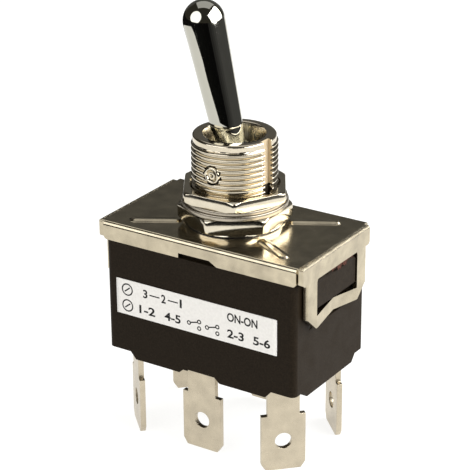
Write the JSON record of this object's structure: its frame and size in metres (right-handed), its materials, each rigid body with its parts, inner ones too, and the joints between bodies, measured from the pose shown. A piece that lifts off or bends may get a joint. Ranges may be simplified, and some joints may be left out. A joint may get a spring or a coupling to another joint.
{
  "type": "panel toggle switch",
  "caption": "Panel-mount changeover toggle switch with a bat lever, threaded bushing, hexagon nuts, pressed top frame, dark moulded housing and quick-connect tabs.",
  "frame": {"origin": "on the bushing's axis, in the plane of the four corner terminals' tips", "axes": "+Z along the bushing towards the lever, +X along the case towards the side that the lever leans away from, -Y towards the label"},
  "size_m": [0.0334, 0.0192, 0.0632],
  "materials": {
    "steel_nickel": "nickel-plated pressed steel, satin",
    "bushing_nickel": "nickel-plated brass, threaded",
    "washer_steel": "nickel-plated steel, satin",
    "lever_chrome": "bright chrome plate on brass",
    "phenolic": "black phenolic moulding, semi-matt",
    "fibre": "red-brown vulcanised fibre",
    "label": "white printed label, satin",
    "nylon": "natural nylon",
    "spring_wire": "bare spring steel",
    "copper": "bare copper alloy strip",
    "silver": "bare silver contact",
    "tab_nickel": "nickel-plated brass strip, satin"
  },
  "bodies": {
    "case": {"top_frame": "steel_nickel", "bushing": "bushing_nickel", "back_nut": "bushing_nickel", "locating_washer": "washer_steel", "lock_washer": "washer_steel", "front_nut": "bushing_nickel", "lever_pin": "steel_nickel", "insulator": "fibre", "housing": "phenolic", "front_label": "label", "common_terminal_front": "tab_nickel", "common_terminal_back": "tab_nickel", "throw_terminal_front_left": "tab_nickel", "fixed_contact_front_left": "silver", "throw_terminal_front_right": "tab_nickel", "fixed_contact_front_right": "silver", "throw_terminal_back_left": "tab_nickel", "fixed_contact_back_left": "silver", "throw_terminal_back_right": "tab_nickel", "fixed_contact_back_right": "silver"},
    "lever_body": {"lever": "lever_chrome", "actuator": "nylon", "spring_front": "spring_wire", "spring_back": "spring_wire"},
    "front_plunger": {"plunger_front": "tab_nickel"},
    "back_plunger": {"plunger_back": "tab_nickel"},
    "front_rocker": {"rocker_front": "copper", "rocker_contacts_front": "silver"},
    "back_rocker": {"rocker_back": "copper", "rocker_contacts_back": "silver"}
  },
  "joints": [
    {"name": "lever_hinge", "type": "hinge", "parent": "case", "child": "lever_body", "pos_m": [0, 0, 0.0408], "axis": [0, 1, 0], "range_deg": [0, 27.5]},
    {"name": "front_plunger_slide", "type": "slide", "parent": "lever_body", "child": "front_plunger", "axis": [-0.2377, 0, 0.9713], "range_m": [0, 0.0008], "stiffness_N_per_m": 400, "deforming": ["spring_front"]},
    {"name": "back_plunger_slide", "type": "slide", "parent": "lever_body", "child": "back_plunger", "axis": [-0.2377, 0, 0.9713], "range_m": [0, 0.0008], "stiffness_N_per_m": 400, "deforming": ["spring_back"]},
    {"name": "front_rocker_hinge", "type": "hinge", "parent": "case", "child": "front_rocker", "pos_m": [0, -0.0043, 0.0169], "axis": [0, 1, 0], "range_deg": [-16, 0]},
    {"name": "back_rocker_hinge", "type": "hinge", "parent": "case", "child": "back_rocker", "pos_m": [0, 0.0043, 0.0169], "axis": [0, 1, 0], "range_deg": [-16, 0]}
  ],
  "couplings": [
    {"joint": "front_rocker_hinge", "follows": "lever_hinge", "ratio": -0.58182},
    {"joint": "back_rocker_hinge", "follows": "lever_hinge", "ratio": -0.58182}
  ]
}
